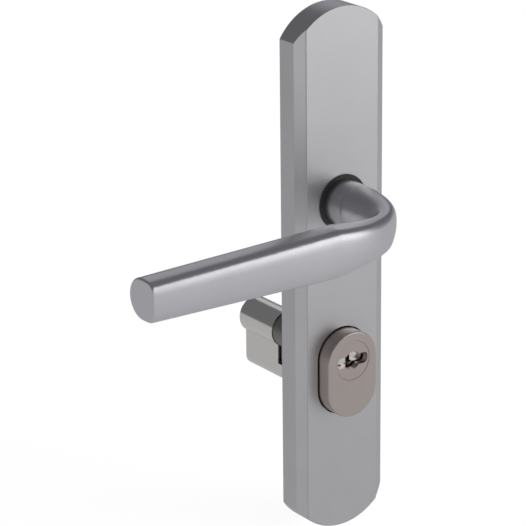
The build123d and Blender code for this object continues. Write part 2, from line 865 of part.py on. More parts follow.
# --- Cylinder body ----------------------------------------------------------
with BuildPart() as cylinder_body:
    extrude(profile_face(0, cylinder_back), amount=cylinder_front - cylinder_back)
    with BuildSketch(Plane.XZ.offset(cylinder_back)):
        with Locations((0, key_height)):
            Circle(plug_bore)
    extrude(amount=cylinder_front - cylinder_back, mode=Mode.SUBTRACT)
    for base in (cylinder_back, cylinder_front - collar_thickness):
        with BuildSketch(Plane.XZ.offset(base)):
            with Locations((0, key_height)):
                Circle(collar_radius + plug_fit)
        extrude(amount=collar_thickness, mode=Mode.SUBTRACT)
    with BuildSketch(Plane.XZ.offset(cam_depth - notch_width / 2)):
        with Locations((0, key_height + (barrel_radius - notch_floor) / 2)):
            Rectangle(4 * barrel_radius, barrel_radius + notch_floor)
    extrude(amount=notch_width, mode=Mode.SUBTRACT)
    with BuildSketch(Plane.XY.offset(key_height)):
        with Locations(*[(0, -depth) for depth in outer_row + inner_row]):
            Circle(pin_radius + chamber_fit)
    extrude(amount=-leg_bottom, mode=Mode.SUBTRACT)
    with BuildSketch(Plane.YZ.offset(-leg_width / 2)):
        with Locations((-cam_depth, key_height - fixing_drop)):
            Circle(fixing_radius)
    extrude(amount=leg_width, mode=Mode.SUBTRACT)
    with BuildSketch(Plane.YZ.offset(leg_width / 2 - drill_pin_length)):
        with Locations(*drill_spots):
            Circle(drill_pin_radius)
    extrude(amount=drill_pin_length, mode=Mode.SUBTRACT)
cylinder_body.part.label = "cylinder_body"
export_step(cylinder_body.part, "parts/cylinder_body.step")


def clip_depth(direction):
    """The middle of a plug's clip, which sits in the notch just inside the body's face."""
    return cam_depth + direction * (notch_width / 2 - plug_gap / 2 - plug_clip_thickness / 2)


def plug_part(face_depth, direction, row, slot_depth):
    """A plug with collar, keyway, pin chambers, clip groove and tail slot.

    direction is +1 for the outer plug, whose face looks out of the door, and -1 for the inner.
    """
    half_clutch = clutch_thickness / 2 + plug_gap
    tail = cam_depth + direction * half_clutch
    clip = clip_depth(direction)
    low, high = min(face_depth, tail), max(face_depth, tail)
    with BuildPart() as plug:
        with BuildSketch(Plane.XZ.offset(low)):
            with Locations((0, key_height)):
                Circle(plug_radius)
        extrude(amount=high - low)
        with BuildSketch(Plane.XZ.offset(face_depth)):
            with Locations((0, key_height)):
                Circle(collar_radius)
        extrude(amount=-direction * (collar_thickness - plug_fit))
        with BuildSketch(Plane.XZ.offset(face_depth)):
            with Locations((0, key_height)):
                Rectangle(keyway_width, keyway_height)
            with Locations((keyway_width / 2, key_height - ward_offset)):
                Rectangle(2 * keyway_ward, keyway_ward)
            with Locations((-keyway_width / 2, key_height + ward_offset)):
                Rectangle(2 * keyway_ward, keyway_ward)
        extrude(amount=-direction * (abs(face_depth - cam_depth) - keyway_end), mode=Mode.SUBTRACT)
        with BuildSketch(Plane.XY.offset(shear_height - chamber_overlap)):
            with Locations(*[(0, -depth) for depth in row]):
                Circle(pin_radius + chamber_fit)
        extrude(amount=plug_radius, mode=Mode.SUBTRACT)
        with BuildSketch(Plane.XZ.offset(clip - plug_clip_thickness / 2 - axial_play / 2)):
            with Locations((0, key_height)):
                Circle(plug_radius)
                Circle(plug_radius - plug_groove, mode=Mode.SUBTRACT)
        extrude(amount=plug_clip_thickness + axial_play, mode=Mode.SUBTRACT)
        with BuildSketch(Plane.XZ.offset(tail)):
            with Locations((0, key_height)):
                Rectangle(2 * plug_radius, cam_slot_width)
        extrude(amount=direction * slot_depth, mode=Mode.SUBTRACT)
    return plug.part


# --- Plugs ------------------------------------------------------------------
tail_slot = dog_height + plug_gap
with BuildPart() as outer_plug:
    add(plug_part(cylinder_front, 1, outer_row, tail_slot))
outer_plug.part.label = "outer_plug"
export_step(outer_plug.part, "parts/outer_plug.step")

with BuildPart() as inner_plug:
    add(plug_part(cylinder_back, -1, inner_row, tail_slot))
inner_plug.part.label = "inner_plug"
export_step(inner_plug.part, "parts/inner_plug.step")

# --- Clips that keep the plugs in -------------------------------------------
for name, direction in (("outer_plug_clip", 1), ("inner_plug_clip", -1)):
    with BuildPart() as plug_clip:
        extrude(
            open_ring(
                plug_radius - plug_groove + screw_fit,
                plug_clip_radius,
                plug_clip_opening,
                key_height,
                clip_depth(direction) - plug_clip_thickness / 2,
            ),
            amount=plug_clip_thickness,
        )
    plug_clip.part.label = name
    export_step(plug_clip.part, f"parts/{name}.step")

# --- Cam --------------------------------------------------------------------
with BuildPart() as cam:
    with BuildSketch(Plane.XZ.offset(cam_depth - cam_width / 2)):
        with Locations((0, key_height)):
            Circle(cam_ring_radius)
        with Locations((0, key_height - cam_tip_radius / 2)):
            RectangleRounded(cam_nose_width, cam_tip_radius, cam_nose_round)
    extrude(amount=cam_width)
    with BuildSketch(Plane.XZ.offset(cam_depth - cam_width / 2)):
        with Locations((0, key_height)):
            Circle(cam_bore_radius)
            Rectangle(2 * cam_slot_radius, cam_slot_width)
    extrude(amount=cam_width, mode=Mode.SUBTRACT)
cam.part.label = "cam"
export_step(cam.part, "parts/cam.step")

# --- Clutch: the sliding coupling between the outer plug and the cam --------
with BuildPart() as clutch:
    with BuildSketch(Plane.XZ.offset(cam_depth - clutch_thickness / 2)):
        with Locations((0, key_height)):
            Circle(cam_bore_radius - clutch_fit)
            Rectangle(2 * (cam_slot_radius - clutch_fit), cam_slot_width - 2 * clutch_fit)
    extrude(amount=clutch_thickness)
    with BuildSketch(Plane.XZ.offset(cam_depth + clutch_thickness / 2)):
        with Locations((0, key_height)):
            Rectangle(2 * (plug_radius - 2 * clutch_fit), cam_slot_width - 2 * clutch_fit)
    extrude(amount=dog_height)
clutch.part.label = "clutch"
export_step(clutch.part, "parts/clutch.step")

# --- Pin stacks: pins, springs and caps, set at the shear line --------------
key_pin_base = shear_height + 2 * pin_step
driver_top = shear_height - plug_fit - pin_step
spring_top = driver_top - driver_length - pin_spring_gap
cap_top = key_height - cap_drop + cap_height
stack_spring = pin_spring(spring_top - cap_top - pin_spring_gap)
for side, row, bitting in (
    ("outer", outer_row, outer_bitting),
    ("inner", inner_row, inner_bitting),
):
    with BuildPart() as key_pins:
        for depth, length in zip(row, bitting):
            with BuildSketch(Plane.XY.offset(key_pin_base)):
                with Locations((0, -depth)):
                    Circle(pin_radius)
            extrude(amount=length - pin_point)
            with BuildSketch(Plane.XY.offset(key_pin_base + length - pin_point)):
                with Locations((0, -depth)):
                    Circle(pin_radius)
            extrude(amount=pin_point, taper=pin_taper)
    key_pins.part.label = f"{side}_key_pins"
    export_step(key_pins.part, f"parts/{side}_key_pins.step")

    with BuildPart() as driver_pins:
        with BuildSketch(Plane.XY.offset(driver_top - driver_length)):
            with Locations(*[(0, -depth) for depth in row]):
                Circle(pin_radius)
        extrude(amount=driver_length)
    driver_pins.part.label = f"{side}_driver_pins"
    export_step(driver_pins.part, f"parts/{side}_driver_pins.step")

    with BuildPart() as pin_springs:
        with Locations(*[(0, -depth, cap_top + pin_spring_gap) for depth in row]):
            add(stack_spring)
    pin_springs.part.label = f"{side}_pin_springs"
    export_step(pin_springs.part, f"parts/{side}_pin_springs.step")

with BuildPart() as chamber_caps:
    with BuildSketch(Plane.XY.offset(cap_top - cap_height)):
        with Locations(*[(0, -depth) for depth in outer_row + inner_row]):
            Circle(pin_radius + chamber_fit / 2)
    extrude(amount=cap_height)
chamber_caps.part.label = "chamber_caps"
export_step(chamber_caps.part, "parts/chamber_caps.step")

# --- Hardened pins against drilling -----------------------------------------
with BuildPart() as drill_pins:
    with BuildSketch(Plane.YZ.offset(leg_width / 2 - drill_pin_length)):
        with Locations(*drill_spots):
            Circle(drill_pin_radius)
    extrude(amount=drill_pin_length)
drill_pins.part.label = "drill_pins"
export_step(drill_pins.part, "parts/drill_pins.step")
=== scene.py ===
"""Looks and studio for a security door fitting with its euro profile cylinder.

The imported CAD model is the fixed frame. Each sub-assembly below is a class that makes its own
meshes, gives them their finishes and says which body they move with.
"""

import logging
import math
from dataclasses import dataclass
from enum import Enum
from typing import Any, Iterable, Sequence

import bmesh
import bpy
import numpy as np
from mathutils import Matrix, Vector


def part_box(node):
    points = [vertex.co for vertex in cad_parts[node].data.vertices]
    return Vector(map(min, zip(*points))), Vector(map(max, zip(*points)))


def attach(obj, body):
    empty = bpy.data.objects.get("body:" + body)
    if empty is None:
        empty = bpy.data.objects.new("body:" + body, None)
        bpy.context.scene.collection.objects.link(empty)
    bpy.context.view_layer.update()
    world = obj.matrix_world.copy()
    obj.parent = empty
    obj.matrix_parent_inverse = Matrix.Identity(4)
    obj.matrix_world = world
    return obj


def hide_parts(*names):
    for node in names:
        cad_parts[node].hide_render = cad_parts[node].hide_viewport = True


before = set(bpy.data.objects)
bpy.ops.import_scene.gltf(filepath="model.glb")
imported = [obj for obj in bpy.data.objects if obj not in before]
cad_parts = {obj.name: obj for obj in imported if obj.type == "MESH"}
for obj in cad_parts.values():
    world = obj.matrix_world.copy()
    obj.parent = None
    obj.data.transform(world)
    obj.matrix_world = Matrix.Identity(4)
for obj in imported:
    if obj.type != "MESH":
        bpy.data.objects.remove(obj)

LOG = logging.getLogger("door_fitting")
MM = 0.001
LOCK_HEIGHT = -72 * MM
FLOOR_GAP = 0.3 * MM
SMOOTH_ANGLE = math.radians(35)
MERGE_GAP = 0.001 * MM
OUT_OF_DOOR = (math.radians(90), 0.0, 0.0)
COIL_STEPS = 20
HEAD_SIDES, SHANK_SIDES, HEX_SIDES, RIDGE_SIDES = 24, 20, 6, 4
DOME_RINGS = 12
THREAD_STEPS = 16
CORE_SHARE = 0.86  # a screw's core over its outer radius
SOCKET_REACH, THREAD_START, THREAD_MARGIN = 1.3, 1.2, 1.4  # in head heights
MIX_COLOUR_A, MIX_COLOUR_B, MIX_COLOUR_OUT = 6, 7, 2  # the Mix node's colour sockets

Colour = tuple[float, float, float]


class Lay(Enum):
    """Which way the fine marks of a finish run."""

    EVEN = "even"
    UPRIGHT = "upright"
    ACROSS = "across"
    OUTWARD = "outward"
    ROUND_LOCK = "round the lock"


class Surface(Enum):
    """What the small relief of a finish looks like."""

    GRAIN = "grain"
    CELLS = "cells"


class Board:
    """A node tree being built, with short calls for its nodes and links."""

    def __init__(self, tree: bpy.types.NodeTree) -> None:
        """Starts from an empty tree.

        Args:
            tree: The shader or geometry tree to fill.
        """
        self.tree = tree
        tree.nodes.clear()

    def node(self, kind: str, inputs: dict[Any, Any] | None = None, **settings: Any) -> bpy.types.Node:
        """Adds a node.

        Args:
            kind: The node's type name.
            inputs: Socket name or number to a value, a socket to link from, or a list of sockets.
            **settings: The node's own properties.

        Returns:
            The new node.
        """
        made = self.tree.nodes.new(kind)
        for name, value in settings.items():
            setattr(made, name, value)
        for key, value in (inputs or {}).items():
            for item in value if isinstance(value, list) else [value]:
                if isinstance(item, bpy.types.NodeSocket):
                    self.tree.links.new(item, made.inputs[key])
                else:
                    made.inputs[key].default_value = item
        return made

    def sum(self, operation: str, *terms: Any) -> bpy.types.NodeSocket:
        """Does one operation of a shader or geometry Math node.

        Args:
            operation: The Math node's operation.
            *terms: Its inputs, as numbers or sockets.

        Returns:
            The result's socket.
        """
        made = self.node("ShaderNodeMath", dict(enumerate(terms)), operation=operation)
        return made.outputs[0]

    def spread(self, value: Any, low: Any, high: Any) -> bpy.types.NodeSocket:
        """Carries a value of 0 to 1 over to another range.

        Args:
            value: The value's socket.
            low: What 0 becomes.
            high: What 1 becomes.

        Returns:
            The result's socket.
        """
        made = self.node("ShaderNodeMapRange", {"Value": value, "To Min": low, "To Max": high})
        return made.outputs["Result"]


@dataclass(frozen=True)
class Finish:
    """A surface finish: its colour, gloss, and the fine marks that making it leaves."""

    name: str
    slot: str
    colour: Colour
    roughness: float
    metallic: float = 1.0
    lay: Lay = Lay.EVEN
    surface: Surface = Surface.GRAIN
    mark_size: float = 0.12 * MM
    mark_length: float = 40.0
    mark_tone: float = 0.04
    mark_depth: float = 0.004 * MM
    mark_gloss: float = 0.04
    cloud_size: float = 22 * MM
    cloud_tone: float = 0.02
    cloud_colour: Colour | None = None
    edge_round: float = 0.12 * MM
    sheen: float = 0.0

    def build(self) -> bpy.types.Material:
        """Makes the finish's material from nodes.

        Returns:
            The material, which reads Object coordinates only.
        """
        material = bpy.data.materials.new(self.name)
        material.use_nodes = True
        board = Board(material.node_tree)
        place = board.node("ShaderNodeTexCoord").outputs["Object"]
        marks = self._marks(board, place)
        cloud = board.node(
            "ShaderNodeTexNoise",
            {"Vector": place, "Scale": 1 / self.cloud_size, "Detail": 3.0, "Roughness": 0.55},
        ).outputs["Fac"]
        tone = board.sum(
            "ADD",
            board.spread(marks, 1 - self.mark_tone, 1 + self.mark_tone),
            board.spread(cloud, -2 * self.cloud_tone, 2 * self.cloud_tone),
        )
        base = board.node(
            "ShaderNodeMix",
            {"Factor": board.spread(cloud, 0.0, 1.0)},
            data_type="RGBA",
        )
        base.inputs[MIX_COLOUR_A].default_value = (*self.colour, 1.0)
        base.inputs[MIX_COLOUR_B].default_value = (*(self.cloud_colour or self.colour), 1.0)
        tinted = board.node("ShaderNodeVectorMath", {0: base.outputs[MIX_COLOUR_OUT]}, operation="SCALE")
        board.tree.links.new(tone, tinted.inputs["Scale"])
        gloss = board.spread(marks, self.roughness - self.mark_gloss, self.roughness + self.mark_gloss)
        edge = board.node("ShaderNodeBevel", {"Radius": self.edge_round}, samples=4)
        relief = board.node(
            "ShaderNodeBump",
            {"Strength": 1.0, "Distance": self.mark_depth, "Height": marks, "Normal": edge.outputs[0]},
        )
        shader = board.node(
            "ShaderNodeBsdfPrincipled",
            {
                "Base Color": tinted.outputs[0],
                "Roughness": gloss,
                "Normal": relief.outputs[0],
                "Metallic": self.metallic,
                "Sheen Weight": self.sheen,
            },
        )
        board.node("ShaderNodeOutputMaterial", {"Surface": shader.outputs[0]})
        return material

    def _marks(self, board: Board, place: bpy.types.NodeSocket) -> bpy.types.NodeSocket:
        """Makes the pattern of fine marks.

        Args:
            board: The material's tree.
            place: The Object coordinates.

        Returns:
            The pattern's height, from 0 to 1.
        """
        fine = 1 / self.mark_size
        drawn = fine / self.mark_length
        stretch = {
            Lay.EVEN: (fine, fine, fine),
            Lay.UPRIGHT: (fine, fine, drawn),
            Lay.ACROSS: (drawn, fine, fine),
            Lay.OUTWARD: (fine, drawn, fine),
        }
        if self.lay in stretch:
            scale = stretch[self.lay]
            vector = board.node("ShaderNodeMapping", {"Vector": place, "Scale": scale}).outputs[0]
        else:
            parts = board.node("ShaderNodeSeparateXYZ", {0: place}).outputs
            up = board.sum("SUBTRACT", parts["Z"], LOCK_HEIGHT)
            across = board.sum("MULTIPLY", parts["X"], parts["X"])
            radius = board.sum("SQRT", board.sum("ADD", across, board.sum("MULTIPLY", up, up)))
            vector = board.node(
                "ShaderNodeCombineXYZ",
                {0: board.sum("MULTIPLY", radius, fine), 1: board.sum("MULTIPLY", parts["Y"], fine)},
            ).outputs[0]
        if self.surface is Surface.CELLS:
            cells = board.node("ShaderNodeTexVoronoi", {"Vector": vector, "Scale": 1.0})
            return cells.outputs["Distance"]
        return board.node(
            "ShaderNodeTexNoise", {"Vector": vector, "Scale": 1.0, "Detail": 2.0, "Roughness": 0.6}
        ).outputs["Fac"]


class Finishes:
    """Every finish on the fitting, built once and kept by name."""

    PLATE = Finish(
        "satin_anodised_plate", "plate_aluminium", (0.64, 0.632, 0.645), 0.42,
        lay=Lay.UPRIGHT, mark_size=0.16 * MM, mark_length=30, mark_tone=0.025, edge_round=0.18 * MM,
    )
    LEVER = Finish(
        "satin_anodised_lever", "lever_aluminium", (0.68, 0.672, 0.70), 0.34,
        mark_size=0.14 * MM, mark_tone=0.02, mark_gloss=0.03,
    )
    BLUED = Finish(
        "blued_steel", "hardened_steel", (0.13, 0.135, 0.155), 0.38,
        cloud_colour=(0.17, 0.15, 0.15), cloud_size=9 * MM, cloud_tone=0.06, mark_tone=0.08,
    )
    FOAM = Finish(
        "closed_cell_foam", "gasket_foam", (0.028, 0.028, 0.031), 0.85, metallic=0.0,
        surface=Surface.CELLS, mark_size=0.35 * MM, mark_depth=0.06 * MM, mark_tone=0.25, sheen=0.2,
    )
    ZINC = Finish(
        "bright_zinc", "plated_steel", (0.66, 0.67, 0.68), 0.28,
        cloud_colour=(0.62, 0.64, 0.70), cloud_size=6 * MM, cloud_tone=0.05, mark_tone=0.05,
    )
    PLASTIC = Finish(
        "moulded_acetal", "black_plastic", (0.034, 0.034, 0.037), 0.45, metallic=0.0,
        mark_size=0.2 * MM, mark_depth=0.01 * MM, mark_tone=0.1,
    )
    SPRING = Finish(
        "oiled_spring_wire", "spring_steel", (0.36, 0.35, 0.34), 0.3,
        cloud_colour=(0.24, 0.22, 0.21), cloud_size=4 * MM, mark_tone=0.08,
    )
    NICKEL = Finish(
        "brushed_satin_nickel", "satin_nickel", (0.56, 0.495, 0.465), 0.32,
        lay=Lay.UPRIGHT, mark_size=0.1 * MM, mark_length=60, mark_tone=0.07, mark_depth=0.003 * MM,
        edge_round=0.1 * MM,
    )
    DISC = Finish(
        "brushed_nickel_disc", "satin_nickel", (0.56, 0.485, 0.462), 0.36,
        lay=Lay.ACROSS, mark_size=0.1 * MM, mark_length=40, mark_tone=0.06, mark_depth=0.003 * MM,
        edge_round=0.1 * MM,
    )
    CYLINDER = Finish(
        "plated_cylinder", "nickel_brass", (0.80, 0.785, 0.75), 0.16,
        lay=Lay.OUTWARD, mark_size=0.12 * MM, mark_length=50, mark_tone=0.05,
    )
    PLUG = Finish(
        "turned_plug", "nickel_brass", (0.86, 0.85, 0.82), 0.12,
        lay=Lay.ROUND_LOCK, mark_size=0.16 * MM, mark_tone=0.05, mark_depth=0.003 * MM,
    )
    SINTERED = Finish(
        "sintered_cam", "sintered_steel", (0.30, 0.29, 0.28), 0.52,
        surface=Surface.CELLS, mark_size=0.25 * MM, mark_depth=0.02 * MM, mark_tone=0.12,
    )
    BRASS = Finish(
        "turned_brass", "raw_brass", (0.70, 0.52, 0.25), 0.25,
        cloud_colour=(0.62, 0.44, 0.22), cloud_size=3 * MM, mark_tone=0.05,
    )

    def __init__(self) -> None:
        """Starts with nothing built."""
        self._built: dict[str, bpy.types.Material] = {}

    def material(self, finish: Finish) -> bpy.types.Material:
        """Gives a finish's material, and builds it the first time.

        Args:
            finish: One of the finishes above.

        Returns:
            Its material.
        """
        if finish.name not in self._built:
            self._built[finish.name] = finish.build()
        return self._built[finish.name]


class Recipe:
    """A geometry tree with named inputs that makes a part's repeated or path-following shape."""

    def __init__(self, name: str) -> None:
        """Starts a tree whose input geometry is the points that the shape goes on.

        Args:
            name: The tree's name.
        """
        self.tree = bpy.data.node_groups.new(name, "GeometryNodeTree")
        self.board = Board(self.tree)
        self.tree.interface.new_socket("Geometry", in_out="INPUT", socket_type="NodeSocketGeometry")
        self.tree.interface.new_socket("Geometry", in_out="OUTPUT", socket_type="NodeSocketGeometry")
        self.entry = self.board.node("NodeGroupInput")

    def size(self, name: str, kind: str = "Float") -> bpy.types.NodeSocket:
        """Adds a named input.

        Args:
            name: The input's name.
            kind: Float, Int, Vector or Material.

        Returns:
            The socket to link from.
        """
        self.tree.interface.new_socket(name, in_out="INPUT", socket_type=f"NodeSocket{kind}")
        return self.entry.outputs[name]

    def close(self, shape: bpy.types.NodeSocket) -> None:
        """Puts the shape on every input point, and ends the tree.

        Args:
            shape: The geometry to repeat.
        """
        board = self.board
        turned = board.node(
            "GeometryNodeTransform", {"Geometry": shape, "Rotation": self.size("Turn", "Vector")}
        )
        copies = board.node(
            "GeometryNodeInstanceOnPoints",
            {"Points": self.entry.outputs["Geometry"], "Instance": turned.outputs[0]},
        )
        real = board.node("GeometryNodeRealizeInstances", {"Geometry": copies.outputs[0]})
        dressed = board.node(
            "GeometryNodeSetMaterial",
            {"Geometry": real.outputs[0], "Material": self.size("Finish", "Material")},
        )
        board.node("NodeGroupOutput", {"Geometry": dressed.outputs[0]})

    def make(self, name: str, spots: Sequence[Vector], sizes: dict[str, Any]) -> bpy.types.Object:
        """Runs the tree on a set of points and keeps the result as a plain mesh.

        Args:
            name: The piece's name.
            spots: Where the shape goes.
            sizes: The value of each named input.

        Returns:
            The piece, at the origin, with no modifier.
        """
        points = bpy.data.meshes.new(f"{name}_spots")
        points.from_pydata([tuple(spot) for spot in spots], [], [])
        holder = bpy.data.objects.new(f"{name}_spots", points)
        bpy.context.scene.collection.objects.link(holder)
        modifier = holder.modifiers.new("recipe", "NODES")
        modifier.node_group = self.tree
        sockets = {
            item.name: item.identifier
            for item in self.tree.interface.items_tree
            if item.item_type == "SOCKET" and item.in_out == "INPUT"
        }
        for key, value in sizes.items():
            modifier[sockets[key]] = value
        graph = bpy.context.evaluated_depsgraph_get()
        mesh = bpy.data.meshes.new_from_object(holder.evaluated_get(graph), depsgraph=graph)
        bpy.data.objects.remove(holder)
        mesh.name = name
        mesh.set_sharp_from_angle(angle=SMOOTH_ANGLE)
        piece = bpy.data.objects.new(name, mesh)
        bpy.context.scene.collection.objects.link(piece)
        return piece


class Recipes:
    """The geometry trees that the sub-assemblies share."""

    @staticmethod
    def _moved(board: Board, shape: bpy.types.Node, shift: bpy.types.Node) -> bpy.types.Node:
        """Moves a node's geometry by another node's vector.

        Args:
            board: The recipe's tree.
            shape: The node that makes the geometry.
            shift: The node that makes the vector.

        Returns:
            The node that moves it.
        """
        return board.node(
            "GeometryNodeTransform", {"Geometry": shape.outputs[0], "Translation": shift.outputs[0]}
        )

    @staticmethod
    def coil() -> Recipe:
        """Makes the tree for a coiled wire or a thread ridge, which rises along its own Z."""
        recipe = Recipe("coil")
        path = recipe.board.node(
            "GeometryNodeCurveSpiral",
            {
                "Resolution": recipe.size("Steps", "Int"),
                "Rotations": recipe.size("Turns"),
                "Start Radius": recipe.size("Radius"),
                "End Radius": recipe.size("End Radius"),
                "Height": recipe.size("Height"),
            },
        )
        section = recipe.board.node(
            "GeometryNodeCurvePrimitiveCircle",
            {"Resolution": recipe.size("Sides", "Int"), "Radius": recipe.size("Wire")},
        )
        wire = recipe.board.node(
            "GeometryNodeCurveToMesh",
            {"Curve": path.outputs[0], "Profile Curve": section.outputs[0], "Fill Caps": True},
        )
        recipe.close(wire.outputs[0])
        return recipe

    @staticmethod
    def screw() -> Recipe:
        """Makes the tree for a countersunk screw: head down at zero, shank along its own Z."""
        recipe = Recipe("screw")
        board = recipe.board
        head_radius, head_height = recipe.size("Head Radius"), recipe.size("Head Height")
        radius, length = recipe.size("Radius"), recipe.size("Length")
        head = board.node(
            "GeometryNodeMeshCone",
            {
                "Vertices": HEAD_SIDES,
                "Radius Top": radius,
                "Radius Bottom": head_radius,
                "Depth": head_height,
            },
        )
        core = board.sum("MULTIPLY", radius, CORE_SHARE)
        shank = board.node(
            "GeometryNodeMeshCylinder", {"Vertices": SHANK_SIDES, "Radius": core, "Depth": length}
        )
        lift = board.node("ShaderNodeCombineXYZ", {"Z": board.sum("MULTIPLY", length, 0.5)})
        raised = Recipes._moved(board, shank, lift)
        socket = board.node(
            "GeometryNodeMeshCylinder",
            {
                "Vertices": HEX_SIDES,
                "Radius": recipe.size("Socket"),
                "Depth": board.sum("MULTIPLY", head_height, SOCKET_REACH),
            },
        )
        whole = board.node(
            "GeometryNodeMeshBoolean",
            {"Mesh 2": [head.outputs[0], raised.outputs[0]]},
            operation="UNION",
        )
        cut = board.node(
            "GeometryNodeMeshBoolean",
            {"Mesh 1": whole.outputs[0], "Mesh 2": socket.outputs[0]},
            operation="DIFFERENCE",
        )
        pitch = recipe.size("Pitch")
        run = board.sum("SUBTRACT", length, board.sum("MULTIPLY", head_height, THREAD_MARGIN))
        path = board.node(
            "GeometryNodeCurveSpiral",
            {
                "Resolution": THREAD_STEPS,
                "Rotations": board.sum("DIVIDE", run, pitch),
                "Start Radius": core,
                "End Radius": core,
                "Height": run,
            },
        )
        ridge = board.node(
            "GeometryNodeCurvePrimitiveCircle",
            {"Resolution": RIDGE_SIDES, "Radius": board.sum("SUBTRACT", radius, core)},
        )
        thread = board.node(
            "GeometryNodeCurveToMesh",
            {"Curve": path.outputs[0], "Profile Curve": ridge.outputs[0], "Fill Caps": True},
        )
        drop = board.node("ShaderNodeCombineXYZ", {"Z": board.sum("MULTIPLY", head_height, THREAD_START)})
        placed = Recipes._moved(board, thread, drop)
        both = board.node("GeometryNodeJoinGeometry", {"Geometry": [cut.outputs[0], placed.outputs[0]]})
        recipe.close(both.outputs[0])
        return recipe

    @staticmethod
    def rivet() -> Recipe:
        """Makes the tree for a rivet: a shank along its own Z with a domed head on top."""
        recipe = Recipe("rivet")
        board = recipe.board
        length, rise = recipe.size("Length"), recipe.size("Head Height")
        shank = board.node(
            "GeometryNodeMeshCylinder",
            {"Vertices": SHANK_SIDES, "Radius": recipe.size("Radius"), "Depth": length},
        )
        half = board.sum("MULTIPLY", length, 0.5)
        lift = board.node("ShaderNodeCombineXYZ", {"Z": half})
        raised = Recipes._moved(board, shank, lift)
        ball = board.node(
            "GeometryNodeMeshUVSphere", {"Segments": SHANK_SIDES, "Rings": DOME_RINGS, "Radius": 1.0}
        )
        head_radius = recipe.size("Head Radius")
        flat = board.node("ShaderNodeCombineXYZ", {"X": head_radius, "Y": head_radius, "Z": rise})
        top = board.node("ShaderNodeCombineXYZ", {"Z": length})
        dome = board.node(
            "GeometryNodeTransform",
            {"Geometry": ball.outputs[0], "Translation": top.outputs[0], "Scale": flat.outputs[0]},
        )
        whole = board.node(
            "GeometryNodeMeshBoolean",
            {"Mesh 2": [raised.outputs[0], dome.outputs[0]]},
            operation="UNION",
        )
        recipe.close(whole.outputs[0])
        return recipe


@dataclass(frozen=True)
class Solid:
    """One separate solid of a CAD node, by its box."""

    low: Vector
    high: Vector

    @property
    def middle(self) -> Vector:
        """The middle of the box."""
        return (self.low + self.high) / 2


@dataclass
class Assembly:
    """What every sub-assembly does: dress CAD nodes and hand over new pieces."""

    finishes: Finishes
    recipes: type[Recipes]

    def dress(self, node: str, finish: Finish) -> None:
        """Gives a CAD node its finish.

        Args:
            node: The node's name.
            finish: The finish it gets.
        """
        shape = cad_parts[node]
        for holder in shape.material_slots:
            holder.material = self.finishes.material(finish)
        LOG.info("%s: CAD shape in %s", node, finish.name)

    def hand_over(self, piece: bpy.types.Object, body: str, finish: Finish, *nodes: str) -> None:
        """Puts a new piece on its body and hides the CAD nodes that it stands for.

        Args:
            piece: The finished piece.
            body: The body that it moves with.
            finish: Its finish.
            *nodes: The CAD nodes that it stands for.
        """
        if not piece.data.materials:
            piece.data.materials.append(self.finishes.material(finish))
        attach(piece, body)
        if nodes:
            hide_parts(*nodes)
        LOG.info("%s: %d faces in %s on %s", piece.name, len(piece.data.polygons), finish.name, body)

    @staticmethod
    def solids(node: str) -> list[Solid]:
        """Finds the separate solids of a CAD node.

        Args:
            node: The node's name.

        Returns:
            One entry for each solid, from the highest place to the lowest.
        """
        shape = bmesh.new()
        shape.from_mesh(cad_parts[node].data)
        bmesh.ops.remove_doubles(shape, verts=shape.verts, dist=MERGE_GAP)
        left = set(shape.verts)
        found = []
        while left:
            group, front = [], [left.pop()]
            while front:
                vertex = front.pop()
                group.append(vertex.co.copy())
                for edge in vertex.link_edges:
                    other = edge.other_vert(vertex)
                    if other in left:
                        left.remove(other)
                        front.append(other)
            corners = np.array(group)
            found.append(Solid(Vector(corners.min(0)), Vector(corners.max(0))))
        shape.free()
        return sorted(found, key=lambda s: (-round(s.low.z, 5), round(s.low.x, 5), round(s.low.y, 5)))


@dataclass
class ScrewSize:
    """A countersunk screw's sizes."""

    radius: float = 1.5 * MM
    head_radius: float = 2.9 * MM
    head_height: float = 1.4 * MM
    socket: float = 1.0 * MM
    pitch: float = 0.5 * MM

    def inputs(
        self, length: float, material: bpy.types.Material, turn: Sequence[float]
    ) -> dict[str, Any]:
        """Names the screw recipe's inputs.

        Args:
            length: The whole screw's length.
            material: Its finish.
            turn: How it is turned from standing on its head along +Z.

        Returns:
            The value of each named input.
        """
        return {
            "Head Radius": self.head_radius,
            "Head Height": self.head_height,
            "Radius": self.radius,
            "Length": length,
            "Socket": self.socket,
            "Pitch": self.pitch,
            "Turn": turn,
            "Finish": material,
        }


